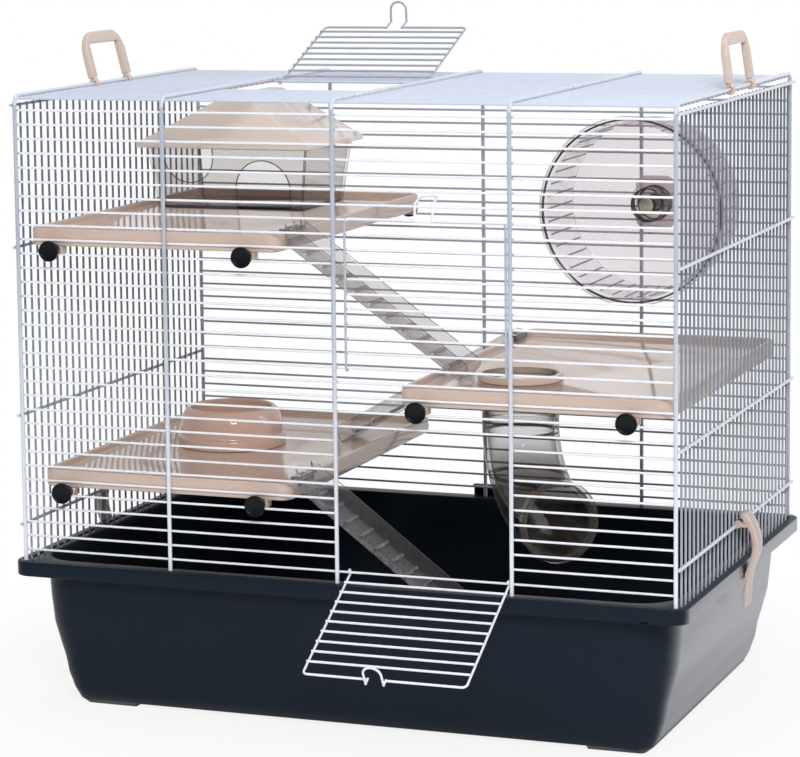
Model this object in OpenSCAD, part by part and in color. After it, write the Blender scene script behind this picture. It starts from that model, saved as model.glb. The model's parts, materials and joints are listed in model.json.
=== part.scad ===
// Rodent cage: a white wire cage on a dark tub, with three trays, ladders,
// a running wheel, a tube, a house, a food bowl, doors, handles and clips.
// Millimetres, +Z up, origin on the floor at the middle of the tub's footprint.

/* [Wire cage] */
// Distance between the two end hoops, left to right
cage_w = 570; // [562:2:590]
// Depth between the front and back hoop legs
cage_d = 383; // [378:1:390]
// Height of the cage from the tub's rim to the roof hoops
cage_h = 397; // [390:1:405]
// Bend radius of the hoops at the roof
bend_r = 8; // [7:0.5:9]

/* [Tub] */
// Height of the tub to the top of its rim
tub_h = 131; // [126:1:140]
// How far the rim stands out beyond the wire hoops
rim_out = 10; // [9:0.5:12]
// Corner radius of the rim
rim_corner = 15; // [12:1:20]
// Height of the rim's skirt
skirt_h = 12.5; // [11:0.5:14]
// Wall thickness of the tub
tub_wall = 2.5; // [2:0.25:3.5]
// Height of the four corner feet
foot_h = 4; // [3:0.5:6]
// Length of each foot, left to right
foot_w = 48; // [40:1:70]
// Length of each foot, front to back
foot_d = 48; // [40:1:60]

/* [Doors] */
// Width of the two front doors
front_door_w = 136.5; // [130:0.5:137]
// Gap left of the front doors
front_door_gap = 10; // [9:0.5:12]
// Width of the roof door
roof_door_w = 137; // [130:0.5:138]
// How far the lower front door stands open
lower_open = 118; // [0.2:0.2:118.2]
// How far the roof door stands open
roof_open = 158.4; // [0.2:0.2:158.4]
// How far the upper front door stands off when shut
upper_open = 0.2; // [0.2:0.1:0.6]
// Width of the latch loops
latch_w = 15; // [13:0.5:17]
// Rise of the latch legs past the free edge of the upper and the roof door
latch_leg = 13.4; // [13.3:0.05:13.5]
// Reach of the latch loops to the inner side
latch_reach = 18; // [16:0.5:19]

/* [Trays] */
// Width of a tray
tray_w = 226; // [220:1:228]
// Gap between a tray's back edge and the back hoop legs
tray_back_gap = 28; // [27:1:38]
// Height of a tray's edge
tray_h = 15; // [14:0.5:15.5]
// Depth of the pocket in a tray's top
tray_pocket = 6; // [5:0.5:7]
// Width of a tray's raised edge
tray_edge = 4; // [3.5:0.5:5]
// Gap between a tray and the end wires beside it
tray_side = 8; // [7:0.5:10]
// Radius of the screw knobs
knob_r = 8.8; // [8:0.1:9]
// Radius of the studs that the knobs screw on to
stud_r = 2.5; // [2:0.1:2.5]

/* [Wheel] */
// Radius of the wheel's drum
wheel_r = 78; // [74:0.5:79]
// Depth of the wheel
wheel_d = 80; // [70:1:84]
// Number of ribs on the wheel's running surface
wheel_ribs = 42; // [36:1:48]
// Distance of the wheel's axis from the right end hoop
wheel_from_right = 120.5; // [116:0.5:124]

/* [Tube] */
// Outer radius of the tube
tube_r = 32; // [30:0.5:33]
// Bend radius of the tube's elbow
tube_bend = 72; // [70:0.5:74]
// Direction of the tube's outlet
tube_turn = -48; // [-75:1:86]

/* [House] */
// Width of the house at its walls' foot
house_w = 141; // [136:1:142]
// Depth of the house at its walls' foot
house_d = 100; // [96:1:104]
// Height of the house's walls
house_h = 55; // [50:1:56]
// Height of the house's roof
roof_h = 47; // [42:1:49]

/* [Bowl] */
// Radius of the food bowl at its foot
bowl_r = 48; // [44:0.5:52]
// Height of the food bowl
bowl_h = 34.5; // [30:0.5:38]

/* [Ladders] */
// Width of a ladder along a tray's edge
ladder_w = 36; // [34:1:38]
// Height of a ladder's side rails
rail_h = 15.5; // [14:0.5:16]
// Thickness of a ladder's sheet
ladder_t = 2; // [1.6:0.2:2.4]

/* [Handles and clips] */
// Width of a carrying handle
handle_w = 80; // [78:1:86]
// Height of a handle above the roof
handle_h = 46; // [42:1:50]
// Thickness of a handle
handle_t = 5.5; // [5:0.5:6]
// Width of a side clip
clip_w = 20; // [18:1:22]

/* [Hidden] */
// Pieces in this part
// Piece to draw, or all of them
// Facets of a full turn
$fn = 48;
// Gap between pieces that don't touch, and between a piece and what carries it
clear = 0.3;
// Radial gap of a pin or a hinge in its hole
run = 0.08;
// Depth by which crossing wires are welded into each other
weld = 0.3;
// Length by which a thin wire runs past the middle of the wire that it ends on
wire_end = 0.6;
// Length by which a cutter runs past the surface that it cuts
over = 1;
// Radii of the heavy hoop wires, the thin wires and the cross wires on the two ends
hoop_r = 1.75;
wire_r = 1.0;
cross_r = 1.5;
half_w = cage_w / 2;
half_d = cage_d / 2;
rim_z = tub_h;
roof_z = rim_z + cage_h;
foot_gap = 9.5;
// Thin wires down the front, across the roof and upright on each end
rows = 32;
roof_rows = 32;
end_rows = 29;
row_pitch = (cage_h - foot_gap) / rows;
roof_pitch = cage_d / roof_rows;
end_pitch = cage_d / (end_rows + 1);
bay = 150;
wire_y = half_d - hoop_r - wire_r + weld;
roof_wire_z = roof_z - hoop_r - wire_r + weld;
hoop_x = [-half_w, -bay, 0, bay, half_w];
cross_x = half_w + hoop_r + cross_r + 0.05;
end_x = cross_x - cross_r - wire_r + weld;
cross_rows = [30.22, 22.46, 10.57, 0.66];
rim_w = cage_w + 2 * rim_out;
rim_d = cage_d + 2 * (rim_out - 2);
tub_inset = [[37, 0], [30.5, 5], [25.4, 14], [20.5, 28], [18, 42], [14.3, 55], [9.5, 73],
    [7, 96], [5.5, 119]];
tub_corner = 42;
tub_half_w = half_w + 1;
tub_half_d = half_d - 1;
rim_plate = 6;
slot_depth = 4.5;
upper_rows = [8, 18];
lower_rows = [22, 32];
roof_gate = [-5.5, 4.5];
door_len = 10 * row_pitch;
short_leg = 5;
roof_door_gap = 7;
roof_door_len = 10 * roof_pitch;
knob_rows = [10.5, 20.5, 27.5];
knob_drop = 1.9;
tray_rise = 2.8;
// distances of the knobs from their tray's left and right edge
knob_inset = [[25.6, 25.7], [19.3, 31.7], [24.1, 25.2]];
tray_front = -half_d + 4;
tray_back = half_d - tray_back_gap;
tray_d = tray_back - tray_front;
wheel_x = half_w - wheel_from_right;
wheel_z = row_z(9.5) - 1.75;
wheel_back = wire_y - wire_r - 4.3;
drum_t = 1.6;
bolt_r = 3;
tube_x = half_w - 161.5;
tube_y = tray_front + 103.5;
tube_t = 2;
elbow_z = 255.6;
collar_h = 6.2;
house_spread = 7;
house_eave = 8;
house_t = 2.2;
house_x = -half_w + 95.2;
house_y = tray_back - 71.5;
bowl_x = -half_w + 111;
bowl_y = tray_back - 163;

// Height of a thin wire counted down from the roof
function row_z(k) = roof_z - row_pitch * k;
// Place of a roof wire counted from the middle
function roof_y(k) = roof_pitch * k;
function knob_z(i) = row_z(knob_rows[i]) - knob_drop;
function tray_z(i) = knob_z(i) + tray_rise;
function knob_x(i, side) = tray_x(i) + (side == 0 ? knob_inset[i][0] : tray_w - knob_inset[i][1]);
function floor_z(i) = tray_z(i) + tray_h - tray_pocket;
// Left edge of a tray: the upper and lower ones stand left, the middle one right
function tray_x(i) = i == 1 ? half_w - tray_w - 5.5 : -half_w + tray_side + (i == 2 ? 8 : 0);

// Round bar from one point along an axis
module bar_x(x0, x1, y, z, r) {
    translate([x0, y, z]) rotate([0, 90, 0]) cylinder(r = r, h = x1 - x0);
}

module bar_y(y0, y1, x, z, r) {
    translate([x, y0, z]) rotate([-90, 0, 0]) cylinder(r = r, h = y1 - y0);
}

module bar_z(z0, z1, x, y, r) {
    translate([x, y, z0]) cylinder(r = r, h = z1 - z0);
}

module rounded(w, d, r) {
    union() {
        square([w - 2 * r, d], center = true);
        square([w, d - 2 * r], center = true);
        for (x = [-1, 1], y = [-1, 1]) translate([x * (w / 2 - r), y * (d / 2 - r)]) circle(r);
    }
}

// Tub body swept from its wall profile, with the wall moved in by a thickness
module tub_body(inward, z0) {
    side = [for (p = tub_inset) [-p[0] - inward, p[1] < z0 ? z0 : p[1]]];
    top = [[-tub_inset[8][0] - inward, rim_z + (inward > 0 ? over : 0)]];
    edge = concat(side, top);
    n = len(edge);
    top_z = edge[n - 1][1];
    function right(half) = [for (p = edge) [half + p[0], p[1]]];
    function left(half) = [for (i = [n - 1:-1:0]) [-half - edge[i][0], edge[i][1]]];
    rotate([90, 0, 0]) translate([0, 0, -tub_half_d + tub_corner])
        linear_extrude(2 * (tub_half_d - tub_corner)) polygon(concat(right(tub_half_w), left(tub_half_w)));
    rotate([90, 0, 90]) translate([0, 0, -tub_half_w + tub_corner])
        linear_extrude(2 * (tub_half_w - tub_corner)) polygon(concat(right(tub_half_d), left(tub_half_d)));
    for (x = [-1, 1], y = [-1, 1])
        translate([x * (tub_half_w - tub_corner), y * (tub_half_d - tub_corner), 0]) rotate_extrude()
            polygon(concat([[0, edge[0][1]]], [for (p = edge) [tub_corner + p[0], p[1]]], [[0, top_z]]));
}

module base_tub() {
    color("#3b434b") difference() {
        union() {
            tub_body(0, 0);
            translate([0, 0, rim_z - skirt_h]) linear_extrude(skirt_h) rounded(rim_w, rim_d, rim_corner);
        }
        tub_body(tub_wall, foot_h + tub_wall);
        // hollow under the rim between its skirt and the wall
        translate([0, 0, rim_z - skirt_h - over]) linear_extrude(skirt_h - rim_plate + over) difference() {
            rounded(rim_w - 2 * tub_wall, rim_d - 2 * tub_wall, rim_corner - tub_wall);
            rounded(2 * (tub_half_w - 5.5), 2 * (tub_half_d - 5.5), tub_corner - 5.5);
        }
        // raised middle of the underside, which leaves the four feet
        cube([2 * (tub_half_w - 37 - foot_w), rim_d, 2 * foot_h], center = true);
        cube([rim_w, 2 * (tub_half_d - 37 - foot_d), 2 * foot_h], center = true);
        // slots that the ends of the end grilles' uprights stand in
        for (s = [-1, 1]) translate([s * end_x, 0, rim_z])
            cube([2 * wire_r + 2, cage_d - 16, 2 * slot_depth], center = true);
        // hand notch in the front edge of the rim
        translate([half_w - 23, -rim_d / 2, rim_z - skirt_h]) cube([6, 3, 3], center = true);
    }
}

// Spring catch on the back of the rim, at the middle hoop leg
module rim_catch() {
    color("#17191b") translate([0, rim_d / 2 + clear, 0]) rotate([90, 0, 90])
        translate([0, 0, -14]) linear_extrude(28) polygon([[0, rim_z - 16], [3, rim_z - 16],
            [3, rim_z + 10], [-3.4, rim_z + 10], [-3.4, rim_z + 7], [0, rim_z + 7]]);
}

// Part of an upright wire sheet: hoop legs and the thin wires behind them between two
// distances along X; s is -1 in front and 1 behind
module wall_wires(s, legs, x0, x1) {
    union() {
        for (x = legs) bar_z(rim_z + clear, roof_z - bend_r, x, s * half_d, hoop_r);
        for (k = [1:rows]) bar_x(x0, x1, s * wire_y, row_z(k), wire_r);
    }
}

// Front sheet left of the door bay, with the bay's left leg
module front_grille() {
    color("#eef0f4") wall_wires(-1, [-half_w, -bay, 0], -half_w - wire_end, wire_end);
}

module front_grille_right() {
    color("#eef0f4") wall_wires(-1, [bay, half_w], bay - wire_end, half_w + wire_end);
}

// Wires of the front sheet that cross the door bay above, between and below its doors
module front_door_rows() {
    color("#eef0f4") for (k = [1:rows])
        if (k <= upper_rows[0] || (k >= upper_rows[1] && k <= lower_rows[0]) || k >= lower_rows[1])
            bar_x(wire_end, bay - wire_end, -wire_y, row_z(k), wire_r);
}

module back_grille() {
    color("#eef0f4") wall_wires(1, hoop_x, -half_w - wire_end, half_w + wire_end);
}

module roof_grille() {
    color("#eef0f4") union() {
        for (x = hoop_x) {
            bar_y(-half_d + bend_r, half_d - bend_r, x, roof_z, hoop_r);
            for (s = [0, 1]) mirror([0, s, 0])
                translate([x, half_d - bend_r, roof_z - bend_r]) rotate([90, 0, 90])
                    rotate_extrude(angle = 90) translate([bend_r, 0]) circle(hoop_r);
        }
        for (i = [0:roof_rows - 1]) {
            k = i - roof_rows / 2 + 0.5;
            if (k > roof_gate[0] && k < roof_gate[1]) {
                bar_x(-half_w - wire_end, -bay + wire_end, roof_y(k), roof_wire_z, wire_r);
                bar_x(-wire_end, half_w + wire_end, roof_y(k), roof_wire_z, wire_r);
            }
            else bar_x(-half_w - wire_end, half_w + wire_end, roof_y(k), roof_wire_z, wire_r);
        }
    }
}

module end_wires(s) {
    union() {
        for (i = [0:end_rows - 1]) {
            y = end_pitch * (i - (end_rows - 1) / 2);
            bar_z(rim_z - slot_depth + clear, row_z(cross_rows[3]) + cross_r, s * end_x, y, wire_r);
        }
        for (k = cross_rows) bar_y(-half_d - 1.5, half_d + 1.5, s * cross_x, row_z(k), cross_r);
    }
}

module left_grille() {
    color("#eef0f4") end_wires(-1);
}

module right_grille() {
    color("#eef0f4") end_wires(1);
}

// Wire door in its own frame: hinge along X at the origin, rising along Z, outer side at -Y
module door(w, length, pitch, latch_at, leg, slope) {
    off = wire_r + run + wire_r;
    corner = 4;
    union() {
        for (x = [0, w]) {
            bar_z(0, length - corner, x, -off, wire_r);
            translate([x, 0, 0]) rotate([90, 0, 90]) rotate_extrude(angle = 235, start = 180)
                translate([off, 0]) circle(wire_r);
        }
        for (x = [0, 1]) translate([x * w, 0, 0]) mirror([x, 0, 0]) translate([corner, -off, length - corner])
            rotate([90, 0, 0]) rotate_extrude(angle = 90, start = 90) translate([corner, 0]) circle(wire_r);
        for (k = [1:9]) bar_x(-wire_end, w + wire_end, -off + 2 * wire_r - weld, pitch * k, wire_r);
        // free edge with a gap for the latch, and the latch's legs and round loop
        bar_x(corner, latch_at - latch_w / 2, -off, length, wire_r);
        bar_x(latch_at + latch_w / 2, w - corner, -off, length, wire_r);
        for (x = [-1, 1]) {
            bar_z(length - wire_r, length + leg, latch_at + x * latch_w / 2, -off, wire_r);
            translate([latch_at + x * latch_w / 2, -off, length + leg]) sphere(wire_r + 0.15);
        }
        translate([latch_at, -off, length + leg]) rotate([slope, 0, 0]) {
            for (x = [-1, 1]) bar_y(0, latch_reach - latch_w / 2, x * latch_w / 2, 0, wire_r);
            translate([0, latch_reach - latch_w / 2, 0]) rotate_extrude(angle = 180)
                translate([latch_w / 2, 0]) circle(wire_r);
        }
    }
}

module lower_front_door() {
    color("#f2f4f7") translate([front_door_gap, -wire_y, row_z(lower_rows[1])]) rotate([lower_open, 0, 0])
        door(front_door_w, door_len + 1, row_pitch, 62.5, short_leg, 3);
}

module upper_front_door() {
    color("#f2f4f7") translate([front_door_gap, -wire_y, row_z(upper_rows[1])]) rotate([upper_open, 0, 0])
        door(front_door_w, door_len + 1, row_pitch, 68, latch_leg, 17);
}

module roof_door() {
    color("#f2f4f7") translate([-roof_door_gap, roof_y(roof_gate[1]), roof_wire_z]) rotate([0, 0, 180])
        rotate([-90 + roof_open, 0, 0]) door(roof_door_w, roof_door_len + 1, roof_pitch, 69.5, latch_leg, 17);
}

// Carrying handle in its own frame: pivot along Y at the origin, standing up along Z
module handle() {
    leg = 10;
    bar = 10.5;
    foot = 5;
    corner = 22;
    // the lugs stand between the roof wires
    lug_y = (2.5 * roof_pitch + 3 * end_pitch) / 2;
    lug_w = 2 * end_pitch - 1.5 * roof_pitch - 2 * wire_r - 4 * clear;
    union() {
        translate([-handle_t / 2, 0, 0]) rotate([90, 0, 90]) linear_extrude(handle_t) difference() {
            union() {
                translate([-handle_w / 2, foot]) square([handle_w, handle_h - foot - corner]);
                translate([-handle_w / 2 + corner, foot]) square([handle_w - 2 * corner, handle_h - foot]);
                for (s = [-1, 1]) translate([s * (handle_w / 2 - corner), handle_h - corner]) circle(corner);
            }
            translate([-handle_w / 2 + leg, 0]) square([handle_w - 2 * leg, handle_h - bar]);
        }
        for (s = [-1, 1]) difference() {
            union() {
                translate([-handle_t / 2, s * lug_y - lug_w / 2, 0]) cube([handle_t, lug_w, 8]);
                bar_y(s * lug_y - lug_w / 2, s * lug_y + lug_w / 2, 0, 0, 4.6);
            }
            bar_y(s * lug_y - lug_w, s * lug_y + lug_w, 0, 0, hoop_r + run);
        }
    }
}

module handle_left() {
    color("#d9c7bb") translate([-half_w, 0, roof_z]) rotate([0, -14, 0]) handle();
}

// The right handle sits one gap further back, where the same lugs fit again
module handle_right() {
    color("#d9c7bb") translate([half_w, (end_pitch + roof_pitch) / 2, roof_z]) rotate([0, -8, 0]) handle();
}

// Side clip in its own frame: pivot along Y at the origin, outer side at +X
module side_clip() {
    barb_z = rim_z - skirt_h - row_z(cross_rows[0]) - 0.8;
    out = half_w + rim_out - cross_x;
    face = out + clear + 0.1;
    lug_w = 8;
    union() {
        translate([0, clip_w / 2, 0]) rotate([90, 0, 0]) linear_extrude(clip_w) polygon([[4, 10.6],
            [7.5, 10.2], [12.6, 2], [16, -6.5], [17.8, -15], [17.6, -21], [16, -27], [13.6, -33.5],
            [11, -40.5], [9.5, -50], [8.8, -67], [7, -71], [5.5, -68], [5.3, -56], [face, barb_z - 7],
            [out - 3, barb_z], [face, barb_z], [face, -41], [9, -36], [11.2, -30], [13, -22.5],
            [13.6, -16], [12.6, -9], [9.2, -1.6], [5, 4.5], [3.6, 9.4]]);
        for (s = [-1, 1]) translate([0, s * end_pitch / 2, 0]) difference() {
            union() {
                bar_y(-lug_w / 2, lug_w / 2, 0, 0, cross_r + run + 1.6);
                translate([0, -lug_w / 2, -1.6]) cube([10, lug_w, 3.6]);
            }
            bar_y(-lug_w, lug_w, 0, 0, cross_r + run);
        }
    }
}

module side_clip_right() {
    color("#d9c7bb") translate([cross_x, 0, row_z(cross_rows[0])]) side_clip();
}

module side_clip_left() {
    color("#d9c7bb") mirror([1, 0, 0]) translate([cross_x, 0, row_z(cross_rows[0])]) side_clip();
}

// Tray with a raised edge, a pocket above its floor and a hollow below
module tray(i) {
    floor_t = 2.5;
    corner = 11;
    translate([tray_x(i) + tray_w / 2, tray_front + tray_d / 2, tray_z(i)]) difference() {
        linear_extrude(tray_h) rounded(tray_w, tray_d, corner);
        translate([0, 0, tray_h - tray_pocket]) linear_extrude(tray_pocket + over)
            rounded(tray_w - 2 * tray_edge, tray_d - 2 * tray_edge, corner - tray_edge);
        translate([0, 0, -over]) linear_extrude(tray_h - tray_pocket - floor_t + over)
            rounded(tray_w - 2 * tray_edge, tray_d - 2 * tray_edge, corner - tray_edge);
    }
}

module upper_tray() {
    color("#dccabf") tray(0);
}

module middle_tray() {
    color("#dccabf") difference() {
        tray(1);
        bar_z(tray_z(1) - over, tray_z(1) + tray_h, tube_x, tube_y, tube_r + 0.1);
    }
}

module lower_tray() {
    color("#dccabf") tray(2);
}

// Beige blocks under the tray edges, each with a stud that passes out between the wires
module tray_brackets() {
    top_gap = 0.05;
    color("#d4bfb1") for (i = [0:2], side = [0, 1], s = [-1, 1]) {
        px = knob_x(i, side);
        inner = s < 0 ? half_d - 15 : tray_front + tray_d - 14;
        outer = wire_y - wire_r - clear;
        mirror([0, s < 0 ? 1 : 0, 0]) union() {
            translate([px - 5, inner, knob_z(i) - 4]) cube([10, outer - inner, 4 + tray_rise - top_gap]);
            bar_y(outer - over, half_d + 8, px, knob_z(i), stud_r);
        }
    }
}

module tray_knobs() {
    color("#16181a") for (i = [0:2], side = [0, 1], s = [-1, 1]) {
        px = knob_x(i, side);
        inner = wire_y + wire_r + clear;
        face = inner + 13;
        neck_r = 5.5;
        disc_t = 3.5;
        dish = 1.5;
        mirror([0, s < 0 ? 1 : 0, 0]) difference() {
            union() {
                bar_y(inner, face - 1, px, knob_z(i), neck_r);
                bar_y(face - disc_t, face, px, knob_z(i), knob_r);
            }
            bar_y(inner - over, half_d + 9, px, knob_z(i), stud_r + 0.05);
            bar_y(face - dish, face + over, px, knob_z(i), knob_r - 1.4);
        }
    }
}

// Wheel: back disc with its hub, then the running surface with its ribs and front lip
module wheel_disc() {
    hub_r = 15.5;
    hub_l = 25;
    color("#d8cfca") translate([wheel_x, wheel_back, wheel_z]) rotate([90, 0, 0]) difference() {
        union() {
            cylinder(r = wheel_r - drum_t - 0.05, h = 3);
            cylinder(r = 20, h = 9);
            cylinder(r = hub_r, h = hub_l);
        }
        translate([0, 0, -over]) cylinder(r = bolt_r + run, h = hub_l + 2 * over);
    }
}

module wheel_drum() {
    lip_r = 2;
    lip_at = wheel_r + 3.7;
    rib_r = 0.8;
    color("#d8cfca") translate([wheel_x, wheel_back, wheel_z]) rotate([90, 0, 0]) union() {
        difference() {
            union() {
                cylinder(r = wheel_r, h = wheel_d - lip_r, $fn = 96);
                translate([0, 0, wheel_d - lip_r - 1]) cylinder(r = lip_at, h = 2, $fn = 96);
            }
            translate([0, 0, -over]) cylinder(r = wheel_r - drum_t, h = wheel_d + 2 * over, $fn = 96);
        }
        translate([0, 0, wheel_d - lip_r]) rotate_extrude($fn = 96) translate([lip_at, 0]) circle(lip_r);
        for (i = [0:wheel_ribs - 1]) rotate([0, 0, 360 / wheel_ribs * i])
            translate([wheel_r - drum_t, 0, 4]) cylinder(r = rib_r, h = wheel_d - lip_r - 5);
    }
}

// Plate inside the back wires that carries the wheel's bolt
module wheel_bracket() {
    color("#d4bfb1") difference() {
        translate([wheel_x, wheel_back + 4, wheel_z]) rotate([90, 0, 0]) linear_extrude(3)
            rounded(36, 48, 9);
        bar_y(wheel_back, wheel_back + 6, wheel_x, wheel_z, bolt_r + 0.05);
    }
}

// Bolt through the wheel's hub, the plate and the back wires, with its head and its nut
module wheel_bolt() {
    head_y = wheel_back - 25 - clear;
    nut_y = wire_y + wire_r + clear;
    color("#8d8a88") union() {
        bar_y(head_y - 4, head_y, wheel_x, wheel_z, 6.5);
        bar_y(head_y - over, nut_y + 8, wheel_x, wheel_z, bolt_r);
        bar_y(nut_y, nut_y + 6, wheel_x, wheel_z, 9);
    }
}

// Tube: a ring on the tray's floor, a straight piece, an elbow and an end ring
module tube_collar() {
    color("#b9aba2") translate([tube_x, tube_y, floor_z(1)]) difference() {
        cylinder(r = tube_r + 3.3, h = collar_h);
        translate([0, 0, -over]) cylinder(r = tube_r + 0.05, h = collar_h + 2 * over);
    }
}

module tube_straight() {
    top = floor_z(1) + collar_h - 1;
    color("#b9aba2") translate([tube_x, tube_y, elbow_z]) difference() {
        cylinder(r = tube_r, h = top - elbow_z);
        translate([0, 0, -over]) cylinder(r = tube_r - tube_t, h = top - elbow_z + 2 * over);
    }
}

module tube_elbow() {
    bore = tube_r - tube_t;
    color("#a79c95") translate([tube_x, tube_y, elbow_z - clear]) rotate([0, 0, tube_turn]) union() {
        translate([tube_bend, 0, 0]) rotate([-90, 0, 0]) rotate_extrude(angle = 90, start = 90) difference() {
            translate([tube_bend, 0]) circle(tube_r);
            translate([tube_bend, 0]) circle(bore - 2);
        }
        difference() {
            cylinder(r = bore - run, h = 8);
            translate([0, 0, -over]) cylinder(r = bore - 2, h = 8 + 2 * over);
        }
    }
}

module tube_end_ring() {
    color("#8d817b") translate([tube_x, tube_y, elbow_z - clear]) rotate([0, 0, tube_turn])
        translate([tube_bend + 0.05, 0, -tube_bend]) rotate([0, 90, 0]) difference() {
            cylinder(r = tube_r + 2, h = 6);
            translate([0, 0, -over]) cylinder(r = tube_r - tube_t, h = 6 + 2 * over);
        }
}

// Ladder in its own frame: near foot corner at the origin, rising towards -X with its
// sheet tilted by the slope, its rails running skew by a drift along Y for each step in X
module ladder_channel(run_x, slope, drift) {
    length = run_x / cos(slope);
    shift = -run_x * drift;
    rounding = 7;
    rotate([0, slope, 0]) difference() {
        union() {
            linear_extrude(ladder_t)
                polygon([[0, 0], [0, ladder_w], [-length, ladder_w + shift], [-length, shift]]);
            for (y = [0, ladder_w - ladder_t]) linear_extrude(rail_h)
                polygon([[0, y], [0, y + ladder_t], [-length, y + ladder_t + shift], [-length, y + shift]]);
            for (i = [1:floor(length / 16) - 1]) {
                back = -16 * i;
                y = shift * 16 * i / length;
                linear_extrude(ladder_t + 2.5) polygon([[back, y + 1], [back + 3, y + 1],
                    [back + 3, y + ladder_w - 1], [back, y + ladder_w - 1]]);
            }
        }
        for (turn = [22.5, 45, 67.5]) translate([-rounding, -half_d, rail_h - rounding]) rotate([0, -turn, 0])
            translate([rounding, 0, -10]) cube([10, cage_d, 20]);
    }
}

// Ladder from a floor up to a tray's edge, cut off there and hooked over it, with rails
// that rise above the edge and have rounded ends
module hooked_ladder(foot_y, foot_z, edge_x, edge_z, slope, drift, rise) {
    drop = rail_h / cos(slope);
    rail_top = edge_z + rise;
    reach = (rail_top - foot_z - drop) / tan(slope);
    near = foot_y - reach * drift;
    hook_t = 2;
    lip_in = 2;
    difference() {
        union() {
            intersection() {
                translate([edge_x + clear + reach, foot_y, foot_z]) ladder_channel(reach + 20, slope, drift);
                translate([edge_x + clear, -half_d, 0]) cube([cage_w, cage_d, rail_top]);
            }
            translate([edge_x - tray_edge - clear - hook_t, near, edge_z + clear])
                cube([tray_edge + hook_t + 2 * clear + 3, ladder_w, hook_t]);
            translate([edge_x - tray_edge - clear - hook_t, near + lip_in, edge_z - 4])
                cube([hook_t, ladder_w - 2 * lip_in, 4 + clear + 0.5]);
        }
        translate([edge_x + clear, -half_d, rail_top]) rotate([0, (slope - 90) / 2, 0])
            translate([-1.2, 0, -0.6 * rise]) cube([20, cage_d, 30]);
    }
}
module ladder_top() {
    color("#a99e97") hooked_ladder(tray_front + 78.3, floor_z(1) + clear, tray_x(0) + tray_w,
        tray_z(0) + tray_h, 42, 0.443, 10);
}

module ladder_middle() {
    color("#a99e97") mirror([1, 0, 0]) hooked_ladder(tray_front + tray_d - 135.3, floor_z(2) + clear, -tray_x(1),
        tray_z(1) + tray_h, 30.6, -0.5415, 6);
}

module ladder_bottom() {
    color("#a99e97") hooked_ladder(tray_front + 128.1, foot_h + tub_wall + clear, tray_x(2) + tray_w,
        tray_z(2) + tray_h, 47, 0.6, 14);
}

// House whose walls lean out evenly, with a floor and a roof with one hipped end
module house_shell(inward, z0, z1) {
    foot = house_spread * z0 / house_h;
    head = house_spread * z1 / house_h;
    hull() {
        translate([-house_w / 2 - foot + inward, -house_d / 2 - foot + inward, z0])
            cube([house_w + 2 * (foot - inward), house_d + 2 * (foot - inward), 0.01]);
        translate([-house_w / 2 - head + inward, -house_d / 2 - head + inward, z1 - 0.01])
            cube([house_w + 2 * (head - inward), house_d + 2 * (head - inward), 0.01]);
    }
}

module house_walls() {
    arch_r = 25.5;
    arch_z = 18.5;
    window_r = 23.2;
    window_z = 47;
    color("#d9c4b8") translate([house_x, house_y, floor_z(0) + clear]) difference() {
        house_shell(0, 0, house_h);
        house_shell(house_t, -over, house_h + over);
        // arched doorway
        translate([33, -house_d / 2 + 12, 0]) rotate([90, 0, 0]) linear_extrude(30) union() {
            translate([-arch_r, -over]) square([2 * arch_r, arch_z + over]);
            translate([0, arch_z]) circle(arch_r);
        }
        // round-bottomed window below the eave
        translate([-38, -house_d / 2 + 12, 0]) rotate([90, 0, 0]) linear_extrude(30) union() {
            translate([-window_r, window_z]) square([2 * window_r, house_h]);
            translate([0, window_z]) circle(window_r);
        }
    }
}

module house_floor() {
    color("#4a4442") translate([house_x - house_w / 2 + 3, house_y - house_d / 2 + 3, floor_z(0) + clear])
        cube([house_w - 6, house_d - 6, 2]);
}

// Roof hull: eave slab below, ridge above, hipped in front. The eave stands out past the
// walls and the shell's thickness draws the ridge in
module roof_hull(eave, thick, below) {
    w = house_w + 2 * (house_spread + eave);
    d = house_d + 2 * (house_spread + eave);
    hip = 28;
    ridge_w = 12;
    ridge_front = hip + thick - house_d / 2 - house_spread - house_eave;
    hull() {
        translate([-w / 2, -d / 2, -below]) cube([w, d, 4]);
        translate([-ridge_w / 2 + thick, ridge_front, roof_h - 2 - thick])
            cube([ridge_w - 2 * thick, d / 2 - ridge_front, 2]);
    }
}

module house_roof() {
    roof_t = 3;
    color("#dccabf") translate([house_x, house_y, floor_z(0) + clear + house_h + 0.05]) difference() {
        roof_hull(house_eave, 0, 0);
        translate([0, 0, -over]) roof_hull(-house_t, roof_t, over);
    }
}

// Food bowl: a low foot, a body that draws in towards its rim, and a round hollow
module food_bowl() {
    foot = 9.5;
    mouth = bowl_r - 12.5;
    color("#dccabf") translate([bowl_x, bowl_y, floor_z(2) + clear]) rotate_extrude($fn = 96) polygon([[0, 0],
        [bowl_r, 0], [bowl_r, foot], [bowl_r - 2.6, foot], [bowl_r - 2.8, bowl_h * 0.55],
        [bowl_r - 4, bowl_h * 0.75], [bowl_r - 6.2, bowl_h * 0.9], [bowl_r - 9, bowl_h],
        [mouth + 1, bowl_h], [mouth, bowl_h - 1.5], [mouth + 2.5, foot], [mouth, 4], [0, 4]]);
}

base_tub();
rim_catch();
front_grille();
front_grille_right();
front_door_rows();
back_grille();
roof_grille();
left_grille();
right_grille();
lower_front_door();
upper_front_door();
roof_door();
handle_left();
handle_right();
side_clip_left();
side_clip_right();
upper_tray();
middle_tray();
lower_tray();
tray_brackets();
tray_knobs();
wheel_disc();
wheel_drum();
wheel_bracket();
wheel_bolt();
tube_collar();
tube_straight();
tube_elbow();
tube_end_ring();
ladder_top();
ladder_middle();
ladder_bottom();
house_floor();
house_walls();
house_roof();
food_bowl();
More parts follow.
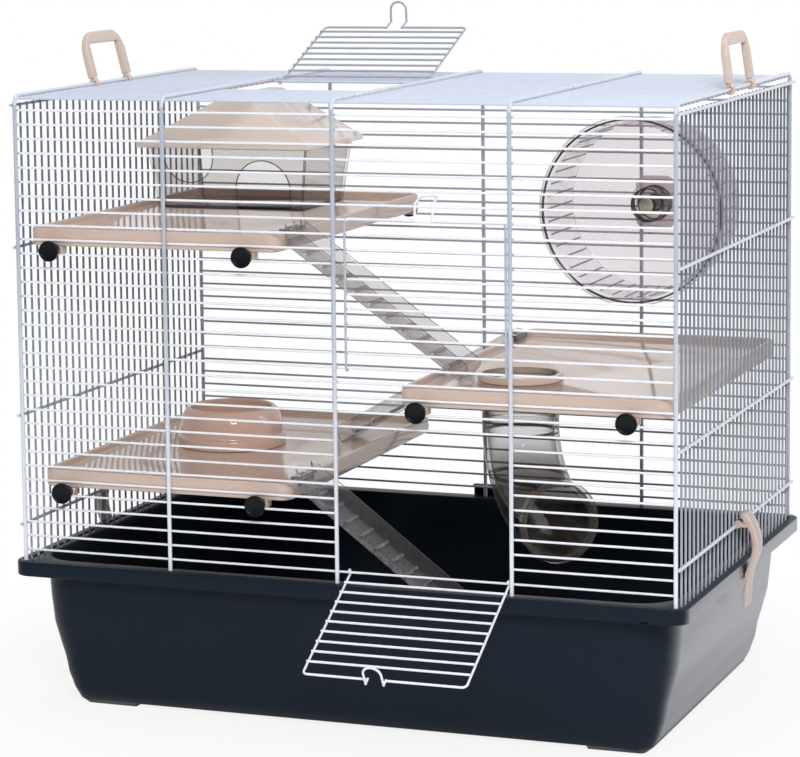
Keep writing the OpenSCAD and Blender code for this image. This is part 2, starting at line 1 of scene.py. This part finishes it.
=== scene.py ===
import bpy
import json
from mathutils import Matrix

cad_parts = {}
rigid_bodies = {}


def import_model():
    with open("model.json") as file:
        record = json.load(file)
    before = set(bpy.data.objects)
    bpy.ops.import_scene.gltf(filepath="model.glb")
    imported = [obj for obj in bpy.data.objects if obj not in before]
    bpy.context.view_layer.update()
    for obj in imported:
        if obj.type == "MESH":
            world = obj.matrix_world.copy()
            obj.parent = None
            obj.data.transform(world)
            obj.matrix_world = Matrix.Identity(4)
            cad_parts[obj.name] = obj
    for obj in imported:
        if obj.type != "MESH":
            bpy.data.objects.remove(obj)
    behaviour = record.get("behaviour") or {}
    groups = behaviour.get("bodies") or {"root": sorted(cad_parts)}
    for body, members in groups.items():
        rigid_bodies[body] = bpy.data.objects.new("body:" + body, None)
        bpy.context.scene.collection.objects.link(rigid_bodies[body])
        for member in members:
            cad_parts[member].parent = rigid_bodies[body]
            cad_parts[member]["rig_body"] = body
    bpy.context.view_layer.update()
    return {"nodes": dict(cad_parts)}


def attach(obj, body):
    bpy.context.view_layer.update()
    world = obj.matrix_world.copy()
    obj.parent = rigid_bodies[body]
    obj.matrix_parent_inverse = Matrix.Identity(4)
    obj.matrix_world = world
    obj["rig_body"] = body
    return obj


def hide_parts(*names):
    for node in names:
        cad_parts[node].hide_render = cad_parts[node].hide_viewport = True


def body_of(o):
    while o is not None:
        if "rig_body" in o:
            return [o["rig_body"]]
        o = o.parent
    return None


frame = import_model()

import json
import math
import bpy
from mathutils import Matrix, Vector

# The camera stands to the front right of the cage, a little above its roof, and
# looks along the line fitted to the wires; its shift is the photograph's crop.
right = Vector((0.92414, 0.38172, -0.01615))
upward = Vector((-0.03469, 0.12594, 0.99143))
forward = Vector((-0.38049, 0.91566, -0.12963))
eye = Vector((0.91786, -2.54541, 0.70472))
picture_w, picture_h = 800, 757
axis_px, focal_px = (264.78, 290.20), 3143.8
camera_data = bpy.data.cameras.new("camera")
camera = bpy.data.objects.new("camera", camera_data)
bpy.context.collection.objects.link(camera)
camera.matrix_world = Matrix((
    (right.x, upward.x, -forward.x, eye.x),
    (right.y, upward.y, -forward.y, eye.y),
    (right.z, upward.z, -forward.z, eye.z),
    (0, 0, 0, 1)))
camera_data.sensor_width = 36
camera_data.lens = camera_data.sensor_width * focal_px / picture_w
camera_data.shift_x = (picture_w / 2 - axis_px[0]) / picture_w
camera_data.shift_y = (axis_px[1] - picture_h / 2) / picture_w
camera_data.clip_end = 30
bpy.context.scene.camera = camera
bpy.context.scene.view_settings.view_transform = "Standard"


# Shader maths for every finish: a Value wraps a socket, so that sums on masks read
# as plain expressions, and Shader.add makes any other node.
class Value:
    def __init__(self, shader, socket):
        self.shader, self.socket = shader, socket

    def maths(self, kind, other=None, turned=False):
        pair = [other, self] if turned else [self, other]
        inputs = {0: pair[0]} if other is None else {0: pair[0], 1: pair[1]}
        return self.shader.add("ShaderNodeMath", {"operation": kind}, inputs)

    def __add__(self, other): return self.maths("ADD", other)
    def __radd__(self, other): return self.maths("ADD", other, True)
    def __sub__(self, other): return self.maths("SUBTRACT", other)
    def __rsub__(self, other): return self.maths("SUBTRACT", other, True)
    def __mul__(self, other): return self.maths("MULTIPLY", other)
    def __rmul__(self, other): return self.maths("MULTIPLY", other, True)
    def __pow__(self, other): return self.maths("POWER", other)
    def __or__(self, other): return self.maths("MAXIMUM", other)
    def __gt__(self, other): return self.maths("GREATER_THAN", other)
    def __lt__(self, other): return self.maths("LESS_THAN", other)
    def __abs__(self): return self.maths("ABSOLUTE")


class Shader:
    def __init__(self, name):
        self.material = bpy.data.materials.new(name)
        self.material.use_nodes = True
        self.nodes = self.material.node_tree.nodes
        self.links = self.material.node_tree.links
        self.surface = self.nodes["Principled BSDF"]
        self.out = self.nodes["Material Output"]
        self.place = self.add("ShaderNodeTexCoord", output="Object")

    def add(self, kind, settings=None, inputs=None, output=0):
        node = self.nodes.new(kind)
        for key, value in (settings or {}).items():
            if key == "stops":
                ramp = node.color_ramp
                while len(ramp.elements) < len(value):
                    ramp.elements.new(0.5)
                for element, (position, colour) in zip(ramp.elements, value):
                    element.position = position
                    element.color = (*colour, 1)
            else:
                setattr(node, key, value)
        for key, value in (inputs or {}).items():
            self.join(value, node.inputs[key])
        return Value(self, node.outputs[output])

    def join(self, value, socket):
        if isinstance(value, Value):
            self.links.new(value.socket, socket)
        elif isinstance(value, (tuple, list)) and socket.type == "RGBA":
            socket.default_value = (*value[:3], 1)
        else:
            socket.default_value = value

    def set(self, **inputs):
        for key, value in inputs.items():
            self.join(value, self.surface.inputs[key.replace("_", " ")])

    def linked(self, name):
        return Value(self, self.surface.inputs[name].links[0].from_socket)

    def axis(self, name):
        return self.add("ShaderNodeSeparateXYZ", None, {0: self.place}, name)

    def noise(self, scale, detail=3.0):
        return self.add("ShaderNodeTexNoise", None,
                        {"Vector": self.place, "Scale": scale, "Detail": detail, "Roughness": 0.5})

    def blend(self, mask, first, second):
        return self.add("ShaderNodeMix", {"data_type": "RGBA"}, {0: mask, 6: first, 7: second}, output=2)

    def between(self, value, low, high, start=0.0, end=1.0, kind="SMOOTHSTEP"):
        return self.add("ShaderNodeMapRange", {"interpolation_type": kind},
                        {"Value": value, "From Min": low, "From Max": high, "To Min": start, "To Max": end})

    def bump(self, height, strength, distance):
        self.set(Normal=self.add("ShaderNodeBump", None,
                                 {"Height": height, "Strength": strength, "Distance": distance}))

    def grazing(self, power):
        return self.add("ShaderNodeLayerWeight", None, {"Blend": 0.5}, "Facing") ** power

    def cover(self, share, top):
        under = Value(self, self.surface.outputs[0])
        self.join(self.add("ShaderNodeMixShader", None, {0: share, 1: under, 2: top}),
                  self.out.inputs["Surface"])


# The floor and the white studio around the cage: seen straight, in gloss or through
# clear plastic it is plain white, and the floor keeps the cage's soft shadow.
bpy.ops.object.select_all(action="DESELECT")
bpy.ops.mesh.primitive_plane_add(size=16, location=(0, 0, 0))
floor = bpy.context.object
floor.name = "studio_floor"
studio = Shader("studio_white")
studio.set(Base_Color=(0.95, 0.95, 0.95), Roughness=0.9, Specular_IOR_Level=0.1)
reach = studio.add("ShaderNodeVectorMath", {"operation": "LENGTH"}, {0: studio.place}, "Value")
away = studio.between(reach, 0.25, 0.6, 0.86, 1.0)
seen = studio.add("ShaderNodeLightPath", output="Is Camera Ray")
glossy = studio.add("ShaderNodeLightPath", output="Is Glossy Ray")
clear = studio.add("ShaderNodeLightPath", output="Is Transmission Ray")
behind = studio.between(studio.axis("Y"), -0.7, 0.2, 0.25, 1.0)
white = studio.add("ShaderNodeEmission", None, {"Color": (1, 1, 1), "Strength": 1.0})
studio.cover((seen | glossy * behind | clear) * away, white)
floor.data.materials.append(studio.material)

# The room is white wherever it is seen, and lights the cage with a soft, faintly blue
# light; in gloss its far wall is white and the wall behind the camera dim.
world = bpy.context.scene.world or bpy.data.worlds.new("studio")
bpy.context.scene.world = world
world.use_nodes = True
sky = world.node_tree


def sky_node(kind, settings=None, inputs=None):
    node = sky.nodes.new(kind)
    for key, value in (settings or {}).items():
        setattr(node, key, value)
    for key, value in (inputs or {}).items():
        if isinstance(value, bpy.types.NodeSocket):
            sky.links.new(value, node.inputs[key])
        else:
            node.inputs[key].default_value = value
    return node.outputs


def glow(colour, strength):
    return sky_node("ShaderNodeBackground", None, {"Color": (*colour, 1), "Strength": strength})[0]


paths = sky_node("ShaderNodeLightPath")
way = sky_node("ShaderNodeTexCoord")["Generated"]
far_side = sky_node("ShaderNodeMapRange", {"interpolation_type": "SMOOTHSTEP"},
                    {"Value": sky_node("ShaderNodeSeparateXYZ", None, {0: way})["Y"],
                     "From Min": -0.4, "From Max": 0.4, "To Min": 0.25, "To Max": 1.0})[0]
direct = sky_node("ShaderNodeMath", {"operation": "MAXIMUM"},
                  {0: paths["Is Camera Ray"], 1: paths["Is Transmission Ray"]})[0]
in_gloss = sky_node("ShaderNodeMixShader", None,
                    {0: paths["Is Glossy Ray"], 1: glow((0.88, 0.93, 1.0), 0.34), 2: glow((1, 1, 1), far_side)})[0]
shown = sky_node("ShaderNodeMixShader", None, {0: direct, 1: in_gloss, 2: glow((1, 1, 1), 1.0)})[0]
sky.links.new(shown, sky.nodes["World Output"].inputs["Surface"])


def lamp(name, place, size, power):
    data = bpy.data.lights.new(name, "AREA")
    data.size = size
    data.energy = power
    one = bpy.data.objects.new(name, data)
    bpy.context.collection.objects.link(one)
    one.location = place
    cage_middle = Vector((0, 0, 0.25))
    one.rotation_euler = (cage_middle - Vector(place)).to_track_quat("-Z", "Y").to_euler()


lamp("key_lamp", (1.0, -2.3, 1.7), 0.6, 42)
lamp("top_lamp", (-0.2, -0.2, 2.3), 1.2, 9)
lamp("right_lamp", (2.2, 0.9, 1.5), 0.9, 13)


# The welded wire: every wire is mild steel under white paint. The stout hoops and the
# uprights of the ends stand aslant to the light, so their white is overlaid with a painted
# shade, bluer and greyer, which darkens towards the roof.
thin_white = (0.93, 0.94, 0.98)
hoop_painted_shade = (0.44, 0.48, 0.57)
low_hoop_white = (0.84, 0.86, 0.93)


def wire_paint(name, shade_at, edges=3.0):
    paint = Shader(name)
    mask, shade, light = shade_at(paint)
    flow = paint.noise(60, 2)
    base = paint.blend(mask, light, shade)
    paint.set(Base_Color=paint.blend(flow * 0.12, base, (0.95, 0.96, 1.0)), Roughness=0.24 + flow * 0.1)
    paint.bump(paint.noise(900, 2), 0.08, 0.0003)
    gleam = paint.add("ShaderNodeBsdfAnisotropic", None, {"Color": (0.96, 0.97, 1.0), "Roughness": 0.12})
    paint.cover(paint.grazing(edges) * 0.9, gleam)
    return paint


def dress(shader, *nodes):
    for node in nodes:
        mesh = frame["nodes"][node].data
        mesh.materials.clear()
        mesh.materials.append(shader.material)
        bpy.ops.object.select_all(action="DESELECT")
        frame["nodes"][node].select_set(True)
        bpy.context.view_layer.objects.active = frame["nodes"][node]
        bpy.ops.object.shade_smooth_by_angle(angle=math.radians(35))


# The hoops take a painted shade, bluer grey towards the roof and paler low down; the rows between them stay white.
def hoops_only(paint):
    hoop_reach, inner_hoop_x, end_hoop_x = 0.0026, 0.150, 0.285
    sideways = abs(paint.axis("X"))
    inner = abs(sideways - inner_hoop_x)
    end = abs(sideways - end_hoop_x)
    nearest = sideways.maths("MINIMUM", inner).maths("MINIMUM", end)
    low = paint.between(paint.axis("Z"), 0.40, 0.16, kind="LINEAR")
    return nearest < hoop_reach, paint.blend(low, hoop_painted_shade, low_hoop_white), thin_white


# The ends' uprights take a painted shade that darkens from the rim up to the roof; their cross wires take a paler
# painted shade.
def ends_only(paint):
    cross_wire_x, rim_z, shade_darkest_z = 0.2871, 0.13, 0.42
    stops = [(0.0, (0.46, 0.49, 0.56)), (0.35, (0.28, 0.31, 0.37)), (1.0, (0.11, 0.13, 0.18))]
    height = paint.between(paint.axis("Z"), rim_z, shade_darkest_z, kind="LINEAR")
    shade = paint.add("ShaderNodeValToRGB", {"stops": stops}, {0: height})
    return abs(paint.axis("X")) < cross_wire_x, shade, (0.66, 0.70, 0.79)


# The upper door's frame takes the hoops' painted shade; its rows stay white.
def door_frame_only(paint):
    door_x, frame_reach = 0.07825, 0.0668
    return abs(paint.axis("X") - door_x) > frame_reach, hoop_painted_shade, thin_white


def mottled(scale, light, shade):
    return lambda paint: (paint.noise(scale), shade, light)


dress(wire_paint("hoop_shade_and_row_paint", hoops_only), "front_grille", "front_grille_right", "front_door_rows")
# The back, the roof and the roof door are white wire too, given greyer, bluer mottled colours as painted shade;
# the lower door keeps its white.
dress(wire_paint("back_painted_shade", mottled(3, (0.46, 0.49, 0.56), (0.36, 0.39, 0.45))), "back_grille")
dress(wire_paint("end_painted_shade", ends_only, 6.0), "left_grille", "right_grille")
dress(wire_paint("roof_painted_shade", mottled(5, (0.66, 0.72, 0.84), (0.56, 0.62, 0.74))), "roof_grille")
dress(wire_paint("door_paint", mottled(5, (0.97, 0.97, 0.99), (0.90, 0.91, 0.95))), "lower_front_door")
dress(wire_paint("roof_door_painted_shade", mottled(5, (0.44, 0.48, 0.55), (0.34, 0.38, 0.45)), 6.0), "roof_door")
dress(wire_paint("upper_door_frame_painted_shade", door_frame_only), "upper_front_door")


# The tub: one deep moulding in blue-black plastic, with a flat rim and skirt. Its sides
# are polished by the mould, so that they mirror the white studio where seen aslant.
def moulded(node, name, width, segments=3, angle=38):
    source = frame["nodes"][node]
    piece = bpy.data.objects.new(name, source.data.copy())
    bpy.context.collection.objects.link(piece)
    bpy.ops.object.select_all(action="DESELECT")
    piece.select_set(True)
    bpy.context.view_layer.objects.active = piece
    bpy.ops.object.mode_set(mode="EDIT")
    bpy.ops.mesh.select_all(action="SELECT")
    bpy.ops.mesh.remove_doubles(threshold=0.00001)
    bpy.ops.mesh.dissolve_limited(angle_limit=math.radians(1))
    bpy.ops.object.mode_set(mode="OBJECT")
    edge = piece.modifiers.new("edge", "BEVEL")
    edge.width = width
    edge.segments = segments
    edge.limit_method = "ANGLE"
    edge.angle_limit = math.radians(angle)
    edge.use_clamp_overlap = False
    bpy.ops.object.modifier_apply(modifier="edge")
    bpy.ops.object.shade_smooth_by_angle(angle=math.radians(40))
    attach(piece, body_of(source)[0])
    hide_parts(node)
    return piece


def finish_with(shader, slot, *made):
    for piece in made:
        piece.data.materials.clear()
        piece.data.materials.append(shader.material)


tub = Shader("tub_plastic")
cloud = tub.noise(6)
tub.set(Base_Color=tub.blend(cloud, (0.007, 0.013, 0.022), (0.010, 0.018, 0.029)),
        Roughness=0.34 + cloud * 0.1, Specular_IOR_Level=0.12)
tub.bump(tub.noise(1400, 2), 0.12, 0.0002)
normal = tub.add("ShaderNodeNewGeometry", output="Normal")
facing_x = tub.add("ShaderNodeSeparateXYZ", None, {0: normal}, "X")
outside = tub.between(facing_x * tub.axis("X"), 0.19, 0.29)
sheen = tub.add("ShaderNodeBsdfAnisotropic", None, {"Color": (0.60, 0.61, 0.65), "Roughness": 0.32})
tub.cover(tub.grazing(2.2) * outside, sheen)
finish_with(tub, "tub", moulded("base_tub", "tub_moulding", 0.0012))


# The three trays: shallow beige mouldings with rounded rims, polished so well that the
# floors mirror the wires, the bowl and the house that stand on them. Small brackets in
# the same plastic hold them to the wires.
gloss = Shader("tray_plastic")
drift = gloss.noise(7)
gloss.set(Base_Color=gloss.blend(drift, (0.62, 0.47, 0.395), (0.68, 0.53, 0.45)), Roughness=0.05 + drift * 0.05)
gloss.bump(gloss.noise(22, 1), 0.04, 0.002)
finish_with(gloss, "beige", moulded("upper_tray", "upper_tray_moulding", 0.0012),
            moulded("middle_tray", "middle_tray_moulding", 0.0012),
            moulded("lower_tray", "lower_tray_moulding", 0.0012))
finish_with(gloss, "beige", moulded("tray_brackets", "tray_bracket_mouldings", 0.0005, 2))

# The knobs: black plastic nuts that draw the trays to the wires, each a neck with a flat
# disc and a shallow dish in its face. The rim's catch at the back is the same plastic.
knob_black = Shader("knob_plastic")
grip = knob_black.noise(30)
knob_black.set(Base_Color=knob_black.blend(grip, (0.002, 0.003, 0.006), (0.005, 0.007, 0.012)),
               Roughness=0.24 + grip * 0.12, Specular_IOR_Level=0.2)
knob_black.bump(knob_black.noise(1200, 2), 0.15, 0.0002)
finish_with(knob_black, "black", moulded("tray_knobs", "tray_knob_turnings", 0.0009, 3))
finish_with(knob_black, "black", moulded("rim_catch", "rim_catch_moulding", 0.0005, 2))

# The carrying handles: flat beige bows with a rectangular hand hole, clipped by lugs
# round the end hoops of the roof.
handle_beige = Shader("handle_plastic")
wash = handle_beige.noise(18)
handle_beige.set(Base_Color=handle_beige.blend(wash, (0.66, 0.52, 0.44), (0.74, 0.60, 0.52)),
                 Roughness=0.22 + wash * 0.1)
handle_beige.bump(handle_beige.noise(1100, 2), 0.08, 0.0002)
finish_with(handle_beige, "beige", moulded("handle_left", "left_handle_bow", 0.0011),
            moulded("handle_right", "right_handle_bow", 0.0011))

# The side clips: springy beige hooks that hold the wire top down on the tub's rim, each
# with two fine grooves down its back, whose dark brown is painted shade.
groove_y, groove_reach = 0.0026, 0.0006
clip_beige = Shader("clip_plastic")
tone = clip_beige.noise(30)
# The grooves are painted near black-brown as painted shade, and sunk by the bump.
shaded_groove = abs(abs(clip_beige.axis("Y")) - groove_y) < groove_reach
plain_clip = clip_beige.blend(tone, (0.60, 0.46, 0.39), (0.70, 0.56, 0.49))
clip_beige.set(Base_Color=clip_beige.blend(shaded_groove, plain_clip, (0.10, 0.06, 0.05)), Roughness=0.25 + tone * 0.08)
clip_beige.bump(1 - shaded_groove, 0.4, 0.0005)
finish_with(clip_beige, "beige", moulded("side_clip_left", "left_clip_hook", 0.0007),
            moulded("side_clip_right", "right_clip_hook", 0.0007))


# The running wheel: a clear, faintly pink drum with cross ribs and a rolled front lip,
# turning on a steel bolt in a rounded beige plate inside the back wires. The lip, the
# ribs and the hub's rings look dark, because light runs along inside clear plastic.
def clear_plastic(name, middle, edge, least, most, power, rough=0.05):
    plastic = Shader(name)
    rim = plastic.grazing(power)
    haze = plastic.noise(9)
    plastic.set(Base_Color=plastic.blend(rim, middle, edge), Roughness=rough + haze * 0.04,
                Alpha=rim * (most - least) + haze * 0.06 + (least - 0.03), Specular_IOR_Level=0.9)
    return plastic


wheel_axis = (0.1645, 0, 0.41121)
lip_groove_r, lip_ridge_r, lip_edge_r = 0.0797, 0.0812, 0.0830
rib_low_r, rib_high_r, disc_front_y = 0.0740, 0.0763, 0.178
hub_r, hub_rim_r, hub_bore_r = 0.0165, 0.0150, 0.0068
wheel_clear = clear_plastic("wheel_plastic", (0.62, 0.43, 0.54), (0.05, 0.045, 0.055), 0.20, 0.92, 7.0)
from_axis = wheel_clear.add("ShaderNodeVectorMath", {"operation": "SUBTRACT"},
                            {0: wheel_clear.place, 1: wheel_axis})
across = wheel_clear.add("ShaderNodeVectorMath", {"operation": "MULTIPLY"}, {0: from_axis, 1: (1, 0, 1)})
radius = wheel_clear.add("ShaderNodeVectorMath", {"operation": "LENGTH"}, {0: across}, "Value")
front_lip = (radius > lip_groove_r) * (radius < lip_ridge_r) | (radius > lip_edge_r) * 0.5
ribs = (radius < rib_high_r) * (radius > rib_low_r) * (wheel_clear.axis("Y") < disc_front_y)
hub_rings = (abs(radius - hub_rim_r) < 0.0011) | (abs(radius - hub_bore_r) < 0.0009)
# The lip, the ribs and the hub's rings are painted near black and opaque, as painted shade.
painted_dark_rings = front_lip | ribs | hub_rings
clear_hub = wheel_clear.linked("Alpha") * (1 - (radius < hub_r) * 0.6)
wheel_clear.set(Base_Color=wheel_clear.blend(painted_dark_rings, wheel_clear.linked("Base Color"), (0.012, 0.011, 0.014)),
                Alpha=clear_hub | painted_dark_rings * 0.93)
finish_with(wheel_clear, "smoky", moulded("wheel_disc", "wheel_disc_moulding", 0.0006))
dress(wheel_clear, "wheel_drum")
plate = clear_plastic("wheel_block_plastic", (0.66, 0.52, 0.42), (0.20, 0.14, 0.10), 0.50, 0.96, 2.0)
finish_with(plate, "beige", moulded("wheel_bracket", "wheel_bracket_moulding", 0.0009))
steel = Shader("bolt_steel")
turned = steel.noise(900, 2)
steel.set(Base_Color=steel.blend(turned, (0.42, 0.36, 0.27), (0.62, 0.56, 0.46)), Metallic=1.0,
          Roughness=0.22 + turned * 0.15)
finish_with(steel, "bolt", moulded("wheel_bolt", "wheel_bolt_turning", 0.0004, 2))

# The tube: smoked clear plastic in push-fit sections with two dark seams, painted darker
# and less clear inside the tub as painted shade, with a paler ring at its mouth and a beige collar in the tray.
tub_top_z, tub_inside_z = 0.25, 0.19
upper_seam_z, lower_seam_z = 0.2467, 0.2115
tube_smoke = clear_plastic("tube_plastic", (0.13, 0.095, 0.078), (0.012, 0.010, 0.010), 0.12, 0.95, 2.3, 0.03)
# Inside the tub the tube is painted darker and less clear, as painted shade.
painted_tub_shade = tube_smoke.between(tube_smoke.axis("Z"), tub_top_z, tub_inside_z, 0.0, 0.72, "LINEAR")
upper_seam = abs(tube_smoke.axis("Z") - upper_seam_z) < 0.0008
lower_seam = abs(tube_smoke.axis("Z") - lower_seam_z) < 0.0010
seams = upper_seam | lower_seam
tube_smoke.set(Alpha=tube_smoke.linked("Alpha") | painted_tub_shade | seams * 0.9, Specular_IOR_Level=0.5,
               Base_Color=tube_smoke.blend(painted_tub_shade | seams, tube_smoke.linked("Base Color"), (0.005, 0.005, 0.006)))
dress(tube_smoke, "tube_straight", "tube_elbow")
ring = clear_plastic("tube_ring_plastic", (0.06, 0.045, 0.038), (0.32, 0.25, 0.21), 0.25, 0.90, 1.6)
dress(ring, "tube_end_ring")
finish_with(handle_beige, "beige", moulded("tube_collar", "tube_collar_moulding", 0.0008))


# The ladders: smoked clear channels with low rungs, hooked over the trays' edges. As in
# all clear sheet, the cut edges look dark, because light runs along inside the sheet.
def edge_with(shader, thickness, *made):
    for piece in made:
        piece.data.materials.append(shader.material)
        for face in piece.data.polygons:
            corners = [piece.data.vertices[v].co for v in face.vertices]
            rim = sum((a - b).length for a, b in zip(corners, corners[1:] + corners[:1]))
            if 2 * face.area / rim < thickness:
                face.material_index = 1


# Each level has its own copy of the smoke, lighter or darker as painted light and shade: the middle one darkest,
# the bottom one greyer and clearer.
high_smoke = clear_plastic("ladder_plastic", (0.40, 0.34, 0.33), (0.11, 0.09, 0.09), 0.24, 0.85, 2.6)
shaded_smoke = clear_plastic("shaded_ladder_plastic", (0.32, 0.26, 0.24), (0.08, 0.06, 0.06), 0.20, 0.85, 2.4)
low_smoke = clear_plastic("low_ladder_plastic", (0.42, 0.40, 0.41), (0.30, 0.29, 0.30), 0.10, 0.60, 2.6)
cut_smoke = clear_plastic("ladder_edge_plastic", (0.045, 0.036, 0.034), (0.02, 0.016, 0.016), 0.66, 0.95, 2.0)
for level, smoke in (("top", high_smoke), ("middle", shaded_smoke), ("bottom", low_smoke)):
    channel = moulded("ladder_" + level, level + "_ladder_channel", 0.0002, 1)
    finish_with(smoke, "smoky", channel)
    edge_with(cut_smoke, 0.0026, channel)

# The house: thin see-through beige walls under a cloudier roof, over a dark smoked floor
# plate; the walls' cut edges are painted dark, as painted shade for light running inside the sheet.
house_beige = clear_plastic("house_plastic", (0.34, 0.23, 0.19), (0.22, 0.15, 0.12), 0.15, 0.72, 2.8, 0.06)
# The cut edges are painted near black and opaque, as painted shade.
house_edge = clear_plastic("house_edge_plastic", (0.07, 0.05, 0.042), (0.04, 0.03, 0.026), 0.80, 0.97, 2.0)
roof_beige = clear_plastic("house_roof_plastic", (0.99, 0.86, 0.77), (0.86, 0.70, 0.60), 0.60, 0.92, 2.0, 0.08)
floor_smoke = clear_plastic("house_plate_plastic", (0.008, 0.007, 0.006), (0.006, 0.006, 0.006), 0.95, 0.98, 2.0)
floor_smoke.set(Specular_IOR_Level=0.35)
shell = moulded("house_walls", "house_wall_shell", 0.0008, 1)
finish_with(house_beige, "beige", shell)
edge_with(house_edge, 0.0023, shell)
finish_with(roof_beige, "beige", moulded("house_roof", "house_roof_shell", 0.0010))
finish_with(floor_smoke, "dark_smoky", moulded("house_floor", "house_floor_plate", 0.0005, 2))

# The food bowl: a heavy glossy beige turning with a stepped foot and a rolled lip.
glaze = Shader("bowl_plastic")
veil = glaze.noise(14)
glaze.set(Base_Color=glaze.blend(veil, (0.64, 0.43, 0.35), (0.72, 0.50, 0.42)), Roughness=0.07 + veil * 0.04)
finish_with(glaze, "beige", moulded("food_bowl", "food_bowl_turning", 0.0016, 4, 22))
